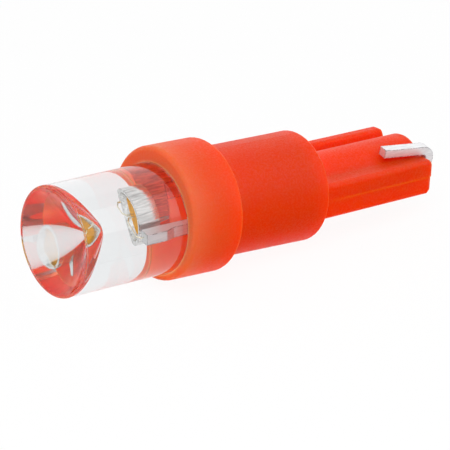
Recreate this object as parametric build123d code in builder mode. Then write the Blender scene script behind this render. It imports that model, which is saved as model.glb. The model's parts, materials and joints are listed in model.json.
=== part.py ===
"""Wedge-base LED bulb: a clear concave 5 mm LED pushed into a one-piece moulded wedge base.

Frame: +Z up, the bulb lies on the plane Z = 0 with its LED towards -X and its wedge towards +X,
and the origin is at the middle of its footprint. Lengths are millimetres.

Stations run backwards along the bulb from the LED's front rim. Two lines carry them: the barrel
axis (collar and neck) and the core axis (LED, its bore and the wedge blade). The barrel was
moulded slightly askew to the core, so the two axes cross at one station and lean apart by a
small angle. Each sub-part is drawn on a plane of one of the two axes.
"""

from build123d import *
from math import asin, atan2, cos, degrees, hypot, radians, sin, tan
import os

# ---------------------------------------------------------------- driving dimensions
# Clear LED body
led_diameter = 5.0
led_length = 7.6
rim_width = 0.12
cone_depth = 1.9
apex_radius = 0.4

# Barrel of the base: collar and neck
collar_front = 5.38
collar_diameter = 6.05
collar_rear = 8.06
collar_front_fillet = 0.22
collar_rear_fillet = 0.1
neck_front_diameter = 5.02
neck_diameter = 5.08
neck_end_wall = 0.28
neck_rear_fillet = 0.12
crossing_set_back = 0.63
barrel_lean = 1.67

# Wedge blade
blade_sink = 1.0
blade_length = 6.59
blade_width = 4.25
blade_thickness = 2.11
blade_draft = 0.02
hump_height = 1.26
hump_radius = 1.25
floor_height = 0.62
rib_width = 0.6
rib_slope_width = 0.12
blade_corner_radius = 0.22
rib_crown_radius = 0.2
rib_valley_radius = 0.12
lead_valley_radius = 0.4
blade_end_radius = 0.22
corner_reach = 0.001
parting_step = 0.05
parting_height = -0.18

# Bores of the base
led_clearance = 0.03
bore_entry = 1.0
chamber_diameter = 4.2
chamber_end_gap = 0.34
lead_clearance = 0.06
channel_flare = 0.12

# Lead frame of the LED, stamped from sheet
lead_width = 0.46
lead_thickness = 0.4
lead_pitch = 2.54
lead_frame_front = 3.5
cup_diameter = 1.6
cup_height = 1.15
cup_mouth_diameter = 1.36
cup_floor_diameter = 0.8
cup_depth = 0.55
cup_rise = 0.22
anvil_length = 1.5
anvil_width = 0.9
anvil_shoulder = 0.65
anvil_neck_length = 0.4
anvil_overlap = 0.1
post_width = 0.9
post_set_back = 0.2
post_length = 1.1
cathode_jog_start = 0.15
cathode_tail = 1.35

# Die, its adhesive, phosphor and bond wires
die_bond_thickness = 0.02
chip_size = 0.32
chip_thickness = 0.1
phosphor_depth = 0.24
bond_wire_diameter = 0.05
bond_wire_sides = 6
bond_wire_rise = 0.3

# Series resistor
resistor_diameter = 1.5
resistor_length = 2.6
resistor_gap = 0.65
resistor_across = 0.65
resistor_lead_diameter = 0.45
jog_stub = 0.3
jog_angle = 55.0
cap_wall = 0.12
cap_length = 0.6
coat_thickness = 0.12
coat_waist = 0.05
coat_chamfer = 0.12
solder_diameter = 0.9
solder_length = 0.7
solder_crown = 0.24
solder_toe = 0.06

# Leads folded over the wedge
fold_gap = 0.02
fold_radius = 0.42
fold_seat_gap = 0.08
fold_length = 2.31
fold_roll = 8.0
fold_skew = 0.28
fold_climb = 0.19

# ---------------------------------------------------------------- stations that follow
# The resistor lies beside the line of its lead. The cathode lead jogs over to it and its rear lead
# jogs back. The chamber ends behind the rear jog, the neck closes it and the blade follows.
lead_offset = lead_pitch / 2
anode_y, cathode_y = -lead_offset, lead_offset
cathode_lead_end = led_length + cathode_tail
resistor_front = cathode_lead_end + resistor_gap
resistor_rear = resistor_front + resistor_length
cap_faces = resistor_front + coat_thickness, resistor_rear - coat_thickness
jog_run = (cathode_y - resistor_across) / tan(radians(jog_angle))
chamber_end = cap_faces[1] + jog_stub + jog_run + chamber_end_gap
neck_rear = chamber_end + neck_end_wall
blade_end = neck_rear + blade_length
barrel_crossing = neck_rear - crossing_set_back

# ---------------------------------------------------------------- lying position
# The base lies on the rear edges of its collar and its neck, which are rounded, so the floor is
# the tangent line under the two fillets and the barrel axis slopes down to the rear.
collar_edge = collar_rear - collar_rear_fillet, collar_diameter / 2 - collar_rear_fillet
neck_edge = neck_rear - neck_rear_fillet, neck_diameter / 2 - neck_rear_fillet
edge_run, edge_drop = neck_edge[0] - collar_edge[0], collar_edge[1] - neck_edge[1]
edge_distance = hypot(edge_run, edge_drop)
barrel_slope = degrees(
    atan2(edge_drop, edge_run) + asin((collar_rear_fillet - neck_rear_fillet) / edge_distance)
)
core_slope = barrel_slope - barrel_lean


def slope_direction(slope):
    return Vector(cos(radians(slope)), 0, -sin(radians(slope)))


def slope_normal(slope):
    return Vector(sin(radians(slope)), 0, cos(radians(slope)))


barrel_direction, barrel_up = slope_direction(barrel_slope), slope_normal(barrel_slope)
core_direction, core_up = slope_direction(core_slope), slope_normal(core_slope)

# Height of the crossing point
crossing_height = (
    neck_rear_fillet
    + (neck_edge[0] - barrel_crossing) * sin(radians(barrel_slope))
    + neck_edge[1] * cos(radians(barrel_slope))
)
# The two leads turn up and down behind the blade's end, and the thicker one sets how far out
fold_corner = lead_thickness / 2 * cos(radians(fold_roll)) + lead_width / 2 * sin(radians(fold_roll))
lead_reach = max(fold_corner, resistor_lead_diameter / 2)
fold_station = blade_end + fold_gap + lead_reach
fold_height = floor_height + fold_seat_gap + lead_reach
# Distance along X from the crossing to the front rim and to the folded leads
front_reach = (core_direction * barrel_crossing + core_up * (led_diameter / 2)).X
rear_offset = fold_station + fold_corner - barrel_crossing
rear_reach = (core_direction * rear_offset + core_up * (fold_height - fold_radius)).X
crossing = Vector((front_reach - rear_reach) / 2, 0, crossing_height)

barrel_start = crossing - barrel_direction * barrel_crossing
core_start = crossing - core_direction * barrel_crossing

# Side planes: X runs backwards along the axis from station 0, Y runs up
barrel_side = Plane(origin=barrel_start, x_dir=barrel_direction, z_dir=(0, -1, 0))
core_side = Plane(origin=core_start, x_dir=core_direction, z_dir=(0, -1, 0))
# Cross plane at station 0 of the core: X is world Y, Y runs up, Z runs backwards
core_cross = Plane(origin=core_start, x_dir=(0, 1, 0), z_dir=core_direction)
# Flat plane through the core axis: X runs backwards, Y is world Y
core_flat = Plane(origin=core_start, x_dir=core_direction, z_dir=core_up)

barrel_axis = Axis(barrel_start, barrel_direction)
core_axis = Axis(core_start, core_direction)

led_radius = led_diameter / 2
bore_radius = led_radius + led_clearance


def core_point(station, across, height):
    """The point of the core frame at this station, distance along Y and height above the axis."""
    return core_start + core_direction * station + Vector(0, across, 0) + core_up * height


# The cup stands a little above the middle of the sheet
cup_centre = core_point(0, 0, cup_rise)
cup_side = Plane(origin=cup_centre, x_dir=core_direction, z_dir=(0, -1, 0))
cup_cross = Plane(origin=cup_centre, x_dir=(0, 1, 0), z_dir=core_direction)
cup_axis = Axis(cup_centre, core_direction)


def fold_path(start_station, side):
    """Corner points of a lead that runs out of the wedge and folds back over one of its faces.

    side is -1 for the lead over the top face and 1 for the lead under the bottom face.
    """
    fold_across = lead_offset + fold_height * sin(radians(fold_roll)) / cos(radians(fold_roll))
    return [
        core_point(start_station, side * lead_offset, 0),
        core_point(fold_station, side * lead_offset, 0),
        core_point(fold_station, side * fold_across, -side * fold_height),
        core_point(
            blade_end - fold_length, side * (fold_across - fold_skew), -side * (fold_height + fold_climb)
        ),
    ]


# ---------------------------------------------------------------- LED lead frame
# Anode: the post beside the cup and the long lead that becomes the wedge's upper contact
with BuildPart() as anode_lead:
    post_inner, post_outer = anode_y + post_width / 2 - post_set_back, anode_y - post_width / 2
    post_foot = lead_frame_front + post_length
    with BuildSketch(core_flat):
        with BuildLine():
            Polyline(
                (lead_frame_front, post_inner),
                (lead_frame_front, post_outer),
                (post_foot, post_outer),
                (post_foot + lead_width, anode_y - lead_width / 2),
                (post_foot + lead_width, anode_y + lead_width / 2),
                (post_foot, post_inner),
                close=True,
            )
        make_face()
    extrude(amount=lead_thickness / 2, both=True)
    with BuildLine() as anode_path:
        FilletPolyline(*fold_path(post_foot + lead_width, -1), radius=fold_radius)
    with BuildSketch(core_cross.offset(post_foot + lead_width)):
        with Locations((anode_y, 0)):
            Rectangle(lead_width, lead_thickness)
    sweep(path=anode_path.wires()[0])
anode_lead.part.label = "anode_lead"

# Cathode: the reflector cup on its anvil, and the short lead that meets the resistor
cup_radius, cup_rear = cup_diameter / 2, lead_frame_front + cup_height
cup_floor = lead_frame_front + cup_depth
# The jog's corners, where the lead's edges turn by the jog's angle
jog_front = led_length + cathode_jog_start
jog_lean = lead_width / 2 * tan(radians(jog_angle / 2))
with BuildPart() as cathode_lead:
    with BuildSketch(core_flat):
        with BuildLine():
            Polyline(
                (cup_rear - anvil_overlap, -anvil_width / 2),
                (cup_rear - anvil_overlap, cup_radius),
                (cup_rear + anvil_neck_length, cathode_y + lead_width / 2),
                (jog_front + jog_lean, cathode_y + lead_width / 2),
                (jog_front + jog_run + jog_lean, resistor_across + lead_width / 2),
                (cathode_lead_end, resistor_across + lead_width / 2),
                (cathode_lead_end, resistor_across - lead_width / 2),
                (jog_front + jog_run - jog_lean, resistor_across - lead_width / 2),
                (jog_front - jog_lean, cathode_y - lead_width / 2),
                (cup_rear + anvil_length, cathode_y - lead_width / 2),
                (cup_rear + anvil_shoulder, -anvil_width / 2),
                close=True,
            )
        make_face()
    extrude(amount=lead_thickness / 2, both=True)
    with BuildSketch(cup_side):
        with BuildLine():
            Polyline(
                (cup_rear, 0),
                (cup_rear, cup_radius),
                (lead_frame_front, cup_radius),
                (lead_frame_front, 0),
                close=True,
            )
        make_face()
    revolve(axis=cup_axis)
    with BuildSketch(cup_side):
        with BuildLine():
            Polyline(
                (lead_frame_front, 0),
                (lead_frame_front, cup_mouth_diameter / 2),
                (cup_floor, cup_floor_diameter / 2),
                (cup_floor, 0),
                close=True,
            )
        make_face()
    revolve(axis=cup_axis, mode=Mode.SUBTRACT)
cathode_lead.part.label = "cathode_lead"

# ---------------------------------------------------------------- die, phosphor and bond wires
chip_front = cup_floor - die_bond_thickness - chip_thickness

with BuildPart() as die_bond:
    with BuildSketch(cup_cross.offset(cup_floor)):
        Rectangle(chip_size, chip_size)
    extrude(amount=-die_bond_thickness)
die_bond.part.label = "die_bond"

with BuildPart() as led_chip:
    with BuildSketch(cup_cross.offset(chip_front)):
        Rectangle(chip_size, chip_size)
    extrude(amount=chip_thickness)
led_chip.part.label = "led_chip"


def bond_wire(pad_across, land_across, land_height):
    """A bond wire from a pad on the chip, over a loop in front of it, to a land on the lead frame."""
    pad, land = core_point(0, pad_across, cup_rise), core_point(0, land_across, land_height)
    lean = (land - pad).normalized() * bond_wire_rise / 2
    crest, knee = lead_frame_front - bond_wire_rise, lead_frame_front - bond_wire_rise / 2
    with BuildPart() as wire:
        with BuildLine() as loop:
            Polyline(
                pad + core_direction * chip_front,
                pad + core_direction * knee,
                pad + core_direction * crest + lean,
                land + core_direction * crest - lean,
                land + core_direction * knee,
                land + core_direction * lead_frame_front,
            )
        with BuildSketch(Plane(origin=loop.wires()[0] @ 0, z_dir=-core_direction)):
            RegularPolygon(bond_wire_diameter / 2, bond_wire_sides)
        sweep(path=loop.wires()[0], transition=Transition.RIGHT)
    return wire


cup_wall_middle = (cup_diameter + cup_mouth_diameter) / 4
anode_bond_wire = bond_wire(-chip_size / 4, anode_y, 0)
anode_bond_wire.part.label = "anode_bond_wire"
cathode_bond_wire = bond_wire(chip_size / 4, cup_wall_middle, cup_rise)
cathode_bond_wire.part.label = "cathode_bond_wire"

# The phosphor fills the bottom of the cup and covers the chip
phosphor_front = lead_frame_front + phosphor_depth
cup_wall_spread = (cup_mouth_diameter - cup_floor_diameter) / 2 / cup_depth
with BuildPart() as phosphor:
    with BuildSketch(cup_side):
        with BuildLine():
            Polyline(
                (phosphor_front, 0),
                (cup_floor, 0),
                (cup_floor, cup_floor_diameter / 2),
                (phosphor_front, cup_mouth_diameter / 2 - phosphor_depth * cup_wall_spread),
                close=True,
            )
        make_face()
    revolve(axis=cup_axis)
    for filled in (die_bond, led_chip, anode_bond_wire, cathode_bond_wire):
        add(filled.part, mode=Mode.SUBTRACT)
phosphor.part.label = "phosphor"

# ---------------------------------------------------------------- clear LED body
mouth_radius = led_radius - rim_width
apex_centre = cone_depth - apex_radius
wall_length = (apex_centre**2 + mouth_radius**2 - apex_radius**2) ** 0.5
wall_angle = atan2(-mouth_radius, apex_centre) + asin(apex_radius / hypot(apex_centre, mouth_radius))
cone_foot = wall_length * cos(wall_angle), mouth_radius + wall_length * sin(wall_angle)

with BuildPart() as led_body:
    with BuildSketch(core_side):
        with BuildLine():
            Line((0, mouth_radius), cone_foot)
            RadiusArc(cone_foot, (cone_depth, 0), apex_radius)
            Polyline(
                (cone_depth, 0),
                (led_length, 0),
                (led_length, led_radius),
                (0, led_radius),
                (0, mouth_radius),
            )
        make_face()
    revolve(axis=core_axis)
    for filled in (anode_lead, cathode_lead, anode_bond_wire, cathode_bond_wire, phosphor, led_chip, die_bond):
        add(filled.part, mode=Mode.SUBTRACT)
led_body.part.label = "led_body"

# ---------------------------------------------------------------- series resistor
cap_radius = resistor_diameter / 2 - coat_thickness
rod_radius = cap_radius - cap_wall
resistor_line = Plane(origin=core_point(0, resistor_across, 0), x_dir=core_direction, z_dir=(0, -1, 0))
resistor_axis = Axis(core_point(0, resistor_across, 0), core_direction)


def turned(points):
    """A piece turned about the resistor's axis from the outline of its half section."""
    with BuildPart() as piece:
        with BuildSketch(resistor_line):
            with BuildLine():
                Polyline(*points, close=True)
            make_face()
        revolve(axis=resistor_axis)
    return piece


def end_cap(face, inward):
    """A pressed cap over one end of the rod. face is its outer face, inward its open direction."""
    rod_end = face + inward * cap_wall
    mouth = face + inward * cap_length
    return turned(
        [(face, 0), (face, cap_radius), (mouth, cap_radius), (mouth, rod_radius), (rod_end, rod_radius), (rod_end, 0)]
    )


rod_ends = cap_faces[0] + cap_wall, cap_faces[1] - cap_wall
resistor_rod = turned([(rod_ends[0], 0), (rod_ends[0], rod_radius), (rod_ends[1], rod_radius), (rod_ends[1], 0)])
resistor_rod.part.label = "resistor_rod"
resistor_front_cap = end_cap(cap_faces[0], 1)
resistor_front_cap.part.label = "resistor_front_cap"
resistor_rear_cap = end_cap(cap_faces[1], -1)
resistor_rear_cap.part.label = "resistor_rear_cap"

with BuildPart() as resistor_front_lead:
    with BuildSketch(core_cross.offset(cathode_lead_end)):
        with Locations((resistor_across, 0)):
            Circle(resistor_lead_diameter / 2)
    extrude(amount=cap_faces[0] - cathode_lead_end)
resistor_front_lead.part.label = "resistor_front_lead"

# The rear lead jogs back to its own side and becomes the wedge's lower contact
with BuildPart() as resistor_rear_lead:
    with BuildLine() as rear_path:
        Polyline(
            core_point(cap_faces[1], resistor_across, 0),
            core_point(cap_faces[1] + jog_stub, resistor_across, 0),
            core_point(cap_faces[1] + jog_stub + jog_run, cathode_y, 0),
        )
        FilletPolyline(*fold_path(cap_faces[1] + jog_stub + jog_run, 1), radius=fold_radius)
    with BuildSketch(core_cross.offset(cap_faces[1])):
        with Locations((resistor_across, 0)):
            Circle(resistor_lead_diameter / 2)
    sweep(path=rear_path.wires()[0], transition=Transition.RIGHT)
resistor_rear_lead.part.label = "resistor_rear_lead"

# Lacquer over rod and caps: fat over the caps and a little waisted between them
with BuildPart() as resistor_coat:
    with BuildSketch(resistor_line) as coat_half:
        with BuildLine():
            Polyline(
                (resistor_front, 0),
                (resistor_front, resistor_diameter / 2),
                (resistor_front + cap_length, resistor_diameter / 2),
                (resistor_front + cap_length + coat_thickness, resistor_diameter / 2 - coat_waist),
                (resistor_rear - cap_length - coat_thickness, resistor_diameter / 2 - coat_waist),
                (resistor_rear - cap_length, resistor_diameter / 2),
                (resistor_rear, resistor_diameter / 2),
                (resistor_rear, 0),
                close=True,
            )
        make_face()
        ends = coat_half.vertices().filter_by(lambda v: v.Y > cap_radius).sort_by(Axis.X)
        chamfer((ends[0], ends[-1]), coat_chamfer)
    revolve(axis=resistor_axis)
    inner_pieces = (resistor_rod, resistor_front_cap, resistor_rear_cap, resistor_front_lead, resistor_rear_lead)
    for filled in inner_pieces:
        add(filled.part, mode=Mode.SUBTRACT)
resistor_coat.part.label = "resistor_coat"

# Solder that joins the cathode lead to the resistor's front lead, end to end
solder_front, solder_rear = cathode_lead_end - solder_length / 2, cathode_lead_end + solder_length / 2
lead_corner = hypot(lead_width, lead_thickness) / 2
with BuildPart() as solder_joint:
    with BuildSketch(resistor_line):
        with BuildLine():
            Polyline(
                (solder_front, lead_corner + solder_toe),
                (cathode_lead_end - solder_crown / 2, solder_diameter / 2),
                (cathode_lead_end + solder_crown / 2, solder_diameter / 2),
                (solder_rear, resistor_lead_diameter / 2 + solder_toe),
                (solder_rear, 0),
                (solder_front, 0),
                close=True,
            )
        make_face()
    revolve(axis=resistor_axis)
    for filled in (cathode_lead, resistor_front_lead):
        add(filled.part, mode=Mode.SUBTRACT)
solder_joint.part.label = "solder_joint"


# ---------------------------------------------------------------- moulded base
# The blade's section is the same when turned half a turn about the core axis. Each broad face has
# a rounded hump along its middle, a low floor on one side, where a folded lead lies, and a raised
# rib along the other edge.
half_width, half_thickness = blade_width / 2, blade_thickness / 2
hump_foot = (hump_radius**2 - (floor_height - hump_height + hump_radius) ** 2) ** 0.5
rib_top = half_width - rib_width
rib_foot = rib_top - rib_slope_width
valley_radius = min(rib_valley_radius, (rib_foot - hump_foot) / 2)


def round_corners(section, across, height, radius):
    """Rounds the corner of the blade's section at this place and the one half a turn on."""
    places = (Vector(across, height), Vector(-across, -height))
    corners = section.vertices().filter_by(
        lambda v: any((Vector(v.X, v.Y) - place).length < corner_reach for place in places)
    )
    fillet(corners, radius)


def blade_section(station, growth):
    """The blade's section at this station, with its outer faces moved out by growth."""
    side, crown = half_width + growth, half_thickness + growth
    floor, hump = floor_height + growth, hump_height + growth
    with BuildSketch(core_cross.offset(station)) as section:
        with BuildLine():
            for turn in (1, -1):
                Polyline((-turn * side, turn * floor), (-turn * hump_foot, turn * floor))
                ThreePointArc(
                    (-turn * hump_foot, turn * floor),
                    (0, turn * hump),
                    (turn * hump_foot, turn * floor),
                )
                Polyline(
                    (turn * hump_foot, turn * floor),
                    (turn * rib_foot, turn * floor),
                    (turn * rib_top, turn * crown),
                    (turn * side, turn * crown),
                    (turn * side, -turn * floor),
                )
        make_face()
        round_corners(section, side, crown, blade_corner_radius)
        round_corners(section, side, -floor, blade_corner_radius)
        round_corners(section, rib_top, crown, rib_crown_radius)
        round_corners(section, rib_foot, floor, valley_radius)
        round_corners(section, hump_foot, floor, valley_radius)
        round_corners(section, -hump_foot, floor, lead_valley_radius)
    return section.sketch


with BuildPart() as blade:
    # The mould's draft narrows the blade towards its end, which is rounded over in two steps
    sections = [blade_section(neck_rear - blade_sink, blade_draft)]
    for turn in (0, 45, 90):
        inset = blade_end_radius * (1 - cos(radians(turn)))
        setback = blade_end_radius * (1 - sin(radians(turn)))
        sections.append(blade_section(blade_end - setback, -inset))
    loft(sections, ruled=True)

with BuildPart() as base_holder:
    # Barrel: collar and neck, turned about the barrel axis
    with BuildSketch(barrel_side) as barrel_half:
        with BuildLine():
            Polyline(
                (collar_front, 0),
                (collar_front, collar_diameter / 2),
                (collar_rear, collar_diameter / 2),
                (collar_rear, neck_front_diameter / 2),
                (neck_rear, neck_diameter / 2),
                (neck_rear, 0),
                close=True,
            )
        make_face()
        rims = barrel_half.vertices().group_by(Axis.Y)[-1].sort_by(Axis.X)
        fillet(rims[0], collar_front_fillet)
        rims = barrel_half.vertices().group_by(Axis.Y)[-1].sort_by(Axis.X)
        fillet(rims[-1], collar_rear_fillet)
        neck_rim = barrel_half.vertices().group_by(Axis.X)[-1].sort_by(Axis.Y)[-1]
        fillet(neck_rim, neck_rear_fillet)
    revolve(axis=barrel_axis)

    # The two halves of the blade's mould are a little out of line at the parting plane
    parting_plane = core_flat.offset(parting_height)
    for keep, shift in ((Keep.TOP, -parting_step / 2), (Keep.BOTTOM, parting_step / 2)):
        half = split(blade.part, bisect_by=parting_plane, keep=keep, mode=Mode.PRIVATE)
        add(half.moved(Location((0, shift, 0))))

    # Bore for the LED and chamber for the resistor, both about the core axis
    with BuildSketch(core_side):
        with BuildLine():
            Polyline(
                (collar_front - bore_entry, 0),
                (collar_front - bore_entry, bore_radius),
                (led_length, bore_radius),
                (led_length, chamber_diameter / 2),
                (chamber_end, chamber_diameter / 2),
                (chamber_end, 0),
                close=True,
            )
        make_face()
    revolve(axis=core_axis, mode=Mode.SUBTRACT)

    # Channels that take the two leads through the blade, flared at their mouths for the bends
    channel_size = max(lead_width, resistor_lead_diameter) + 2 * lead_clearance
    with BuildSketch(core_cross.offset(chamber_end)):
        with Locations((anode_y, 0), (cathode_y, 0)):
            Rectangle(channel_size, channel_size)
    extrude(amount=blade_end - chamber_end, mode=Mode.SUBTRACT)
    with BuildSketch(core_cross.offset(blade_end)):
        with Locations((anode_y, 0), (cathode_y, 0)):
            Rectangle(channel_size + 2 * channel_flare, channel_size + 2 * channel_flare)
    extrude(amount=-channel_flare, taper=45, mode=Mode.SUBTRACT)
base_holder.part.label = "base_holder"

# ---------------------------------------------------------------- export
os.makedirs("parts", exist_ok=True)
finished = (
    base_holder,
    led_body,
    anode_lead,
    cathode_lead,
    led_chip,
    die_bond,
    phosphor,
    anode_bond_wire,
    cathode_bond_wire,
    solder_joint,
    resistor_rod,
    resistor_front_cap,
    resistor_rear_cap,
    resistor_coat,
    resistor_front_lead,
    resistor_rear_lead,
)
for piece in finished:
    export_step(piece.part, f"parts/{piece.part.label}.step")
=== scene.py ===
"""Looks of the wedge-base LED bulb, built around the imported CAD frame. Lengths are metres."""

import json
from math import atan2, cos, pi, radians, sin

import bmesh
import bpy
from mathutils import Matrix, Vector


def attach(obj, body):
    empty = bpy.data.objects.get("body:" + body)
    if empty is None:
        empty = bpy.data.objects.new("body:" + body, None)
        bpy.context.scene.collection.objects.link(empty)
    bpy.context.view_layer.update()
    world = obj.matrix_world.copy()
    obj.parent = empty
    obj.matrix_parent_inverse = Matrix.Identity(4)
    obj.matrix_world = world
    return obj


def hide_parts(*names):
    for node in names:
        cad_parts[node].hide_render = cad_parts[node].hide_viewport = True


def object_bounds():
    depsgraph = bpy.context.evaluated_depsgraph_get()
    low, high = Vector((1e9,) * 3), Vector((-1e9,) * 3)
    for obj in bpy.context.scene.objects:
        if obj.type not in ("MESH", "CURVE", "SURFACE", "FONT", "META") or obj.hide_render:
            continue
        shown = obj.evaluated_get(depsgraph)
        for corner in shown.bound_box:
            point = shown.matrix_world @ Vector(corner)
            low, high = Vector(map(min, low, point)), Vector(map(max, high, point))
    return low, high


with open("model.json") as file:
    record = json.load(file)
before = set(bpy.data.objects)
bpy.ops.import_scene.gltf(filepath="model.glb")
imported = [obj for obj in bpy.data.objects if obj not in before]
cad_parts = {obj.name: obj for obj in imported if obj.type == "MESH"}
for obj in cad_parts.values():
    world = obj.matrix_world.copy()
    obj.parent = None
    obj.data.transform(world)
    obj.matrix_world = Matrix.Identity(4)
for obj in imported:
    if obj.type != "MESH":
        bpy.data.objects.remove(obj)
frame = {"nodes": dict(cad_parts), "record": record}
cad_box = [list(corner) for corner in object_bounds()]
MM = 0.001

# ---------------------------------------------------------------- the LED's axis, read from the record
# A station is a distance along the LED's axis, from its front face towards the wedge.
led_mount = next(mount for mount in frame["record"]["mounts"] if mount["name"] == "led_barrel")
core_direction = -Vector(led_mount["axis"]).normalized()
core_start = Vector(led_mount["pos_m"]) - core_direction * led_mount["dims"]["length_mm"] / 2 * MM

# ---------------------------------------------------------------- sizes of the clear LED body
led_radius = 2.5 * MM
led_length = 7.6 * MM
rim_width = 0.12 * MM
cone_depth = 1.9 * MM
apex_radius = 0.4 * MM
led_edge_radius = 0.03 * MM

# Behind this station the epoxy is pressed against the bore's wall and reaches just inside the plastic.
# An air gap would mirror the light there, and the cone would turn white where the real one is red.
contact_start = 5.4 * MM
contact_radius = 2.534 * MM

# How finely the body is turned. guard is how close the points lie that keep the shading of long faces true.
lathe_steps = 384
apex_steps = 24
rounding_steps = 6
guard = 0.004 * MM
sharp_angle = radians(35)

# ---------------------------------------------------------------- the plastic's colour
# It is paler at the collar and a deeper red towards the wedge: (share of the way, colour).
# The collar's paleness is partly painted glow, standing for light let through its thin translucent wall.
colour_start = 5.0 * MM
colour_end = 16.0 * MM
colour_gradient_and_painted_glow = (
    (0.0, (0.97, 0.15, 0.055)),
    (0.15, (0.97, 0.072, 0.011)),
    (0.35, (0.98, 0.038, 0.001)),
    (0.75, (0.94, 0.037, 0.001)),
    (1.0, (0.86, 0.037, 0.001)),
)

# The bore's wall is paler still, in painted glow. Its colour gives way to the others over these radii and
# these stations.
# The glow stands for light let in through the translucent walls, onto a wall that is in shade.
bore_painted_glow = (0.99, 0.23, 0.11)
bore_radii = (2.535 * MM, 2.64 * MM)
bore_stations = (7.0 * MM, 8.0 * MM)

# ---------------------------------------------------------------- camera, fitted to the photo
# The lens and the sensor are in Blender's own millimetres.
camera_azimuth = radians(38.32)
camera_elevation = radians(23.50)
camera_distance = 141.9 * MM
camera_lens = 263.4
camera_sensor = 36
camera_reach = (0.005, 2.0)
aim_right = 7.386 * MM
aim_up = 0.732 * MM

# ---------------------------------------------------------------- light levels
white = (1, 1, 1)
world_fill = 0.54
floor_half_size = 0.6
floor_colour = (0.9, 0.9, 0.9)
floor_white_share = 0.93


# ---------------------------------------------------------------- mesh helpers
def new_object(name, data):
    piece = bpy.data.objects.new(name, data)
    bpy.context.scene.collection.objects.link(piece)
    return piece


def lathe(name, outline, origin, direction):
    """A closed solid turned from a half section of (station, radius) points."""
    mesh = bpy.data.meshes.new(name)
    built = bmesh.new()
    side = Vector((0, 1, 0))
    up = direction.cross(side)
    rings = []
    for station, radius in outline:
        centre = origin + direction * station
        if radius == 0:
            rings.append([built.verts.new(centre)])
            continue
        ring = []
        for step in range(lathe_steps):
            angle = 2 * pi * step / lathe_steps
            place = centre + side * radius * cos(angle) + up * radius * sin(angle)
            ring.append(built.verts.new(place))
        rings.append(ring)
    for first, second in zip(rings, rings[1:]):
        for step in range(lathe_steps):
            after = (step + 1) % lathe_steps
            corners = [first[step % len(first)], first[after % len(first)]]
            corners += [second[after % len(second)], second[step % len(second)]]
            unique = list(dict.fromkeys(corners))
            if len(unique) > 2:
                built.faces.new(unique)
    bmesh.ops.recalc_face_normals(built, faces=built.faces)
    for face in built.faces:
        face.smooth = True
    built.to_mesh(mesh)
    built.free()
    mesh.set_sharp_from_angle(angle=sharp_angle)
    return new_object(name, mesh)


# ---------------------------------------------------------------- node helpers
def material(name):
    """A new node material, with its tree and its Principled shader."""
    made = bpy.data.materials.new(name)
    made.use_nodes = True
    return made, made.node_tree, made.node_tree.nodes["Principled BSDF"]


def set_values(node, **values):
    """Set a node's sockets by name, with _ for a space. Colours are given without their alpha."""
    for key, value in values.items():
        socket = node.inputs[key.replace("_", " ")]
        socket.default_value = (*value, 1) if socket.type == "RGBA" else value


def feed(tree, source, socket):
    """Link source to a socket, or set the socket where source is a plain value."""
    if isinstance(source, bpy.types.NodeSocket):
        tree.links.new(source, socket)
    else:
        socket.default_value = source


def maths(tree, operation, first, second):
    node = tree.nodes.new("ShaderNodeMath")
    node.operation = operation
    feed(tree, first, node.inputs[0])
    feed(tree, second, node.inputs[1])
    return node.outputs["Value"]


def vector_maths(tree, operation, first, second=(0, 0, 0)):
    """A vector, or a number where the operation gives one."""
    node = tree.nodes.new("ShaderNodeVectorMath")
    node.operation = operation
    feed(tree, first, node.inputs[0])
    feed(tree, second, node.inputs[1])
    return node.outputs["Value" if operation in ("LENGTH", "DOT_PRODUCT") else "Vector"]


def object_coordinates(tree):
    return tree.nodes.new("ShaderNodeTexCoord").outputs["Object"]


def noise(tree, scale, detail=2.0, roughness=0.5):
    """Noise in the row frame. scale is in features per metre."""
    node = tree.nodes.new("ShaderNodeTexNoise")
    set_values(node, Scale=scale, Detail=detail, Roughness=roughness)
    tree.links.new(object_coordinates(tree), node.inputs["Vector"])
    return node.outputs["Fac"]


def drawn_noise(tree, along, across):
    """Noise drawn out along the bulb, with along and across in features per metre."""
    stretch = tree.nodes.new("ShaderNodeMapping")
    set_values(stretch, Scale=(along, across, across))
    tree.links.new(object_coordinates(tree), stretch.inputs["Vector"])
    node = tree.nodes.new("ShaderNodeTexNoise")
    set_values(node, Scale=1.0)
    tree.links.new(stretch.outputs["Vector"], node.inputs["Vector"])
    return node.outputs["Fac"]


def ramp(tree, source, *stops):
    """A colour ramp over source, from (position, colour) stops."""
    node = tree.nodes.new("ShaderNodeValToRGB")
    elements = node.color_ramp.elements
    while len(elements) < len(stops):
        elements.new(0.5)
    for element, (position, colour) in zip(elements, stops):
        element.position = position
        element.color = (*colour, 1)
    tree.links.new(source, node.inputs["Fac"])
    return node.outputs["Color"]


def level_ramp(tree, source, *stops):
    """A ramp over source, from (position, level) stops."""
    return ramp(tree, source, *[(position, (level, level, level)) for position, level in stops])


def span(tree, source, start, end):
    """0 at start and before it, 1 at end and past it, and straight in between."""
    node = tree.nodes.new("ShaderNodeMapRange")
    set_values(node, From_Min=start, From_Max=end)
    tree.links.new(source, node.inputs["Value"])
    return node.outputs["Result"]


def blend(tree, share, first, second):
    """A colour that goes from first to second as share goes from 0 to 1."""
    node = tree.nodes.new("ShaderNodeMix")
    node.data_type = "RGBA"
    feed(tree, share, node.inputs["Factor"])
    feed(tree, first, node.inputs["A"])
    feed(tree, second, node.inputs["B"])
    return node.outputs["Result"]


def bump(tree, shader, source, strength, distance):
    node = tree.nodes.new("ShaderNodeBump")
    set_values(node, Strength=strength, Distance=distance)
    tree.links.new(source, node.inputs["Height"])
    tree.links.new(node.outputs["Normal"], shader.inputs["Normal"])


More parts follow.
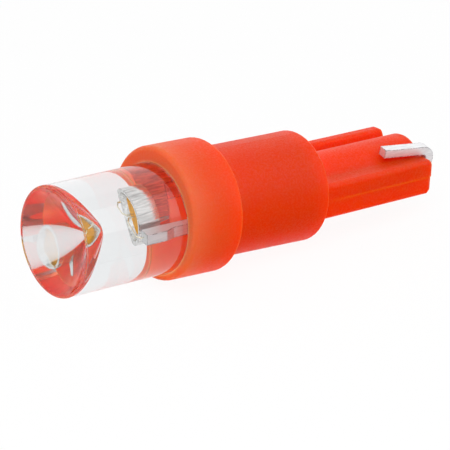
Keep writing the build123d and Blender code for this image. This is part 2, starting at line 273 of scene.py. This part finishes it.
def mix_shaders(tree, share, first, second, output):
    """Send output the first shader where share is 0 and the second where it is 1."""
    mix = tree.nodes.new("ShaderNodeMixShader")
    tree.links.new(share, mix.inputs["Fac"])
    tree.links.new(first, mix.inputs[1])
    tree.links.new(second, mix.inputs[2])
    tree.links.new(mix.outputs["Shader"], tree.nodes[output].inputs["Surface"])


def pass_light(tree, shader, colour):
    """Let lamps and world shine through a surface, tinted by colour."""
    through = tree.nodes.new("ShaderNodeBsdfTransparent")
    set_values(through, Color=colour)
    in_shadow = tree.nodes.new("ShaderNodeLightPath").outputs["Is Shadow Ray"]
    mix_shaders(tree, in_shadow, shader.outputs["BSDF"], through.outputs["BSDF"], "Material Output")


def edge_mask(tree, width):
    """1 on the sharp edges of a piece and 0 on its faces, broken up by noise."""
    # It marks where the painted dark line of shade goes on the edges.
    rounded = tree.nodes.new("ShaderNodeBevel")
    set_values(rounded, Radius=width)
    flat = tree.nodes.new("ShaderNodeNewGeometry")
    alike = vector_maths(tree, "DOT_PRODUCT", rounded.outputs["Normal"], flat.outputs["True Normal"])
    near_edge = span(tree, alike, start=0.99, end=0.9)
    broken_up = span(tree, noise(tree, scale=9000.0), start=0.42, end=0.56)
    return maths(tree, "MULTIPLY", near_edge, broken_up)


# ---------------------------------------------------------------- materials
def darker(colour, share=0.85):
    return [share * channel for channel in colour]


def plastic_colour_and_painted_glow(tree):
    """The plastic's colour along the bulb, with painted glow on the bore's wall."""
    offset = vector_maths(tree, "SUBTRACT", object_coordinates(tree), core_start)
    station = vector_maths(tree, "DOT_PRODUCT", offset, core_direction)
    radius = vector_maths(tree, "LENGTH", vector_maths(tree, "CROSS_PRODUCT", offset, core_direction))
    # outside is 0 on the bore's wall, where the painted glow takes the place of the plastic's colour.
    outside = maths(tree, "MAXIMUM", span(tree, radius, *bore_radii), span(tree, station, *bore_stations))
    along = ramp(tree, span(tree, station, colour_start, colour_end), *colour_gradient_and_painted_glow)
    return blend(tree, outside, (*bore_painted_glow, 1), along)


def base_plastic():
    """Translucent orange-red moulded plastic with a satin grain."""
    made, tree, shader = material("base_plastic")
    set_values(shader, Roughness=0.46, IOR=1.5)
    # Red light travels far inside it and evens out, while green and blue keep the shading.
    set_values(shader, Subsurface_Weight=1.0, Subsurface_Scale=4.5 * MM, Subsurface_Radius=(1.0, 0.16, 0.05))
    # This colour carries painted glow at the collar and on the bore's wall.
    tree.links.new(plastic_colour_and_painted_glow(tree), shader.inputs["Base Color"])
    grain = noise(tree, scale=11000.0, detail=3.0, roughness=0.7)
    shine = level_ramp(tree, grain, (0.42, 0.06), (0.7, 0.34))
    tree.links.new(shine, shader.inputs["Specular IOR Level"])
    bump(tree, shader, grain, strength=0.5, distance=0.012 * MM)
    pass_light(tree, shader, colour=(0.97, 0.55, 0.35))
    return made


def clear_epoxy():
    """Clear cast epoxy. Light reaches the pieces inside it through its shadow."""
    made, tree, shader = material("clear_epoxy")
    set_values(shader, Base_Color=(0.82, 0.835, 0.845), Roughness=0.0, IOR=1.5, Transmission_Weight=1.0)
    pass_light(tree, shader, colour=white)
    return made


def metal(name, colour, roughness, metallic=1.0, scratch=0.3, dark_share=0.85, painted_edge_shade=0.0):
    """Metal with fine scratches along the bulb. Its edges can carry a painted dark line of shade, and the
    last argument is that line's width, or 0.
    """
    made, tree, shader = material(name)
    set_values(shader, Metallic=metallic)
    streaks = drawn_noise(tree, along=900.0, across=14000.0)
    shade = ramp(tree, streaks, (0.3, darker(colour, dark_share)), (0.65, colour))
    if painted_edge_shade:
        # Painted shade: a dark line along the sharp edges.
        shade = blend(tree, edge_mask(tree, painted_edge_shade), shade, (0.1, 0.1, 0.11, 1))
    tree.links.new(shade, shader.inputs["Base Color"])
    rough = level_ramp(tree, streaks, (0.3, roughness + 0.12), (0.7, roughness))
    tree.links.new(rough, shader.inputs["Roughness"])
    bump(tree, shader, streaks, strength=scratch, distance=0.01 * MM)
    return made


def plain(name, colour, roughness, scale=8000.0, metallic=0.0, shine=0.5):
    """A plain surface whose colour varies a little. shine 0 suits a piece cast into the epoxy."""
    made, tree, shader = material(name)
    set_values(shader, Roughness=roughness, Metallic=metallic, Specular_IOR_Level=shine)
    mottle = noise(tree, scale)
    shade = ramp(tree, mottle, (0.35, darker(colour)), (0.65, colour))
    tree.links.new(shade, shader.inputs["Base Color"])
    bump(tree, shader, mottle, strength=0.2, distance=0.01 * MM)
    return made


slot_materials = {
    "base_plastic": base_plastic(),
    "clear_epoxy": clear_epoxy(),
    "lead_metal": metal("lead_metal", (0.77, 0.77, 0.78), 0.4, metallic=0.75, painted_edge_shade=0.07 * MM),
    "cup_silver": metal(
        "cup_silver", (0.88, 0.87, 0.85), 0.05, scratch=0.8, dark_share=0.6, painted_edge_shade=0.06 * MM
    ),
    "chip": plain("chip", (0.72, 0.78, 0.86), 0.15, scale=12000.0, shine=0.3),
    "die_bond": plain("die_bond", (0.9, 0.9, 0.86), 0.5, shine=0.0),
    "phosphor": plain("phosphor", (0.95, 0.42, 0.01), 0.4, shine=0.0),
    "bond_metal": plain("bond_metal", (0.92, 0.85, 0.66), 0.2, metallic=1.0),
    "solder": plain("solder", (0.72, 0.72, 0.72), 0.3, scale=3000.0, metallic=1.0),
    "resistor_ceramic": plain("resistor_ceramic", (0.85, 0.83, 0.78), 0.5),
    "resistor_cap": plain("resistor_cap", (0.7, 0.7, 0.68), 0.3, metallic=1.0),
    "resistor_lacquer": plain("resistor_lacquer", (0.62, 0.47, 0.32), 0.3),
    "resistor_wire": metal("resistor_wire", (0.8, 0.8, 0.79), 0.3),
}


def dress(piece, slot):
    piece.data.materials.clear()
    piece.data.materials.append(slot_materials[slot])


# ---------------------------------------------------------------- camera
def photo_camera():
    """A camera that sees the bulb as the photo does."""
    level = cos(camera_elevation)
    right = Vector((cos(camera_azimuth), -sin(camera_azimuth), 0))
    forward = Vector((sin(camera_azimuth) * level, cos(camera_azimuth) * level, -sin(camera_elevation)))
    upward = right.cross(forward)
    aim = core_start + right * aim_right + upward * aim_up
    data = bpy.data.cameras.new("camera")
    data.sensor_width = camera_sensor
    data.lens = camera_lens
    data.clip_start, data.clip_end = camera_reach
    camera = new_object("camera", data)
    turned = Matrix((right, upward, -forward)).transposed().to_4x4()
    camera.matrix_world = Matrix.Translation(aim - forward * camera_distance) @ turned
    bpy.context.scene.camera = camera


# ---------------------------------------------------------------- clear LED body
def softened(corners):
    """An outline whose (station, radius, size) corners are rounded over. size 0 keeps one sharp.

    A close point on each side of a rounding keeps the shading of the long faces true.
    """
    outline = []
    for number, (station, radius, size) in enumerate(corners):
        corner = Vector((station, radius))
        if size == 0:
            outline.append(tuple(corner))
            continue
        before = (Vector(corners[number - 1][:2]) - corner).normalized()
        after = (Vector(corners[number + 1][:2]) - corner).normalized()
        outline.append(tuple(corner + before * (size + guard)))
        for step in range(rounding_steps + 1):
            t = step / rounding_steps
            outline.append(tuple(corner + before * size * (1 - t) ** 2 + after * size * t**2))
        outline.append(tuple(corner + after * (size + guard)))
    return outline


def led_outline():
    """Half section of the LED body's outer form, with its hollow front cone.

    The cone's tip is an arc about centre. The straight wall runs from the mouth to foot, where it
    meets that arc.
    """
    mouth = led_radius - rim_width
    centre = cone_depth - apex_radius
    wall = (centre**2 + mouth**2 - apex_radius**2) ** 0.5
    angle = atan2(-mouth, centre) + atan2(apex_radius, wall)
    foot = Vector((wall * cos(angle), mouth + wall * sin(angle)))
    foot_angle = atan2(foot[1], foot[0] - centre)
    outline = [(cone_depth, 0.0)]
    for step in range(1, apex_steps + 1):
        turn = foot_angle * step / apex_steps
        outline.append((centre + apex_radius * cos(turn), apex_radius * sin(turn)))
    along = (Vector((0, mouth)) - foot).normalized()
    near_foot = foot + along * guard
    outline += softened(
        [
            (*near_foot, 0),
            (0.0, mouth, led_edge_radius),
            (0.0, led_radius, led_edge_radius),
            (contact_start - guard, led_radius, 0),
            (contact_start, led_radius, 0),
            (contact_start, contact_radius, 0),
            (contact_start + guard, contact_radius, 0),
            (led_length, contact_radius, led_edge_radius),
            (led_length, 0.0, 0),
        ]
    )
    return outline


# ---------------------------------------------------------------- floor, world and lamps
def seen_directly(tree):
    """1 for a ray from the camera or one that metal or clear epoxy sends on, and 0 for the rest."""
    path = tree.nodes.new("ShaderNodeLightPath")
    seen = path.outputs["Is Camera Ray"]
    for name in ("Is Glossy Ray", "Is Transmission Ray"):
        seen = maths(tree, "MAXIMUM", seen, path.outputs[name])
    return seen


def pale_floor():
    """A pale floor that shows as white and keeps a faint shadow."""
    made, tree, shader = material("pale_floor")
    set_values(shader, Base_Color=floor_colour, Roughness=0.9)
    glow = tree.nodes.new("ShaderNodeEmission")
    set_values(glow, Color=white)
    share = maths(tree, "MULTIPLY", seen_directly(tree), floor_white_share)
    mix_shaders(tree, share, shader.outputs["BSDF"], glow.outputs["Emission"], "Material Output")
    return made


def floor_plane(half_size):
    mesh = bpy.data.meshes.new("floor")
    corners = [(-half_size, -half_size, 0), (half_size, -half_size, 0)]
    corners += [(half_size, half_size, 0), (-half_size, half_size, 0)]
    mesh.from_pydata(corners, [], [(0, 1, 2, 3)])
    floor = new_object("floor", mesh)
    floor.data.materials.append(pale_floor())


def studio_world(fill):
    """White where the camera, metal or epoxy looks at it, and a softer fill for the rest."""
    world = bpy.data.worlds.new("studio")
    bpy.context.scene.world = world
    world.use_nodes = True
    tree = world.node_tree
    soft = tree.nodes["Background"]
    set_values(soft, Color=white, Strength=fill)
    seen = tree.nodes.new("ShaderNodeBackground")
    set_values(seen, Color=white, Strength=1.0)
    shaders = (soft.outputs["Background"], seen.outputs["Background"])
    mix_shaders(tree, seen_directly(tree), *shaders, "World Output")


def soft_lamp(name, place, size, power):
    """A square lamp that looks at the bulb's middle, from place beside it. Epoxy doesn't show it."""
    lamp = bpy.data.lights.new(name, "AREA")
    lamp.shape = "SQUARE"
    lamp.size = size
    lamp.energy = power
    holder = new_object(name, lamp)
    holder.visible_transmission = False
    middle = (Vector(cad_box[0]) + Vector(cad_box[1])) / 2
    holder.location = middle + Vector(place)
    holder.rotation_euler = (middle - holder.location).to_track_quat("-Z", "Y").to_euler()


# ---------------------------------------------------------------- the scene
photo_camera()

led = lathe("clear_led_body", led_outline(), core_start, core_direction)
dress(led, "clear_epoxy")
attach(led, "root")
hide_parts("led_body")

for row in frame["record"]["subparts"]:
    dress(frame["nodes"][row["node"]], row["material_slot"])

floor_plane(floor_half_size)
studio_world(world_fill)
soft_lamp("key", place=(-0.05, -0.06, 0.12), size=0.08, power=0.11)
soft_lamp("fill", place=(0.10, -0.08, 0.08), size=0.10, power=0.03)
soft_lamp("back", place=(0.06, 0.10, 0.07), size=0.16, power=0.028)

bpy.context.scene.view_settings.view_transform = "Standard"

# A ray crosses the epoxy's walls and cone many times before it leaves.
cycles = bpy.context.scene.cycles
cycles.max_bounces = 32
cycles.glossy_bounces = 24
cycles.transmission_bounces = 24
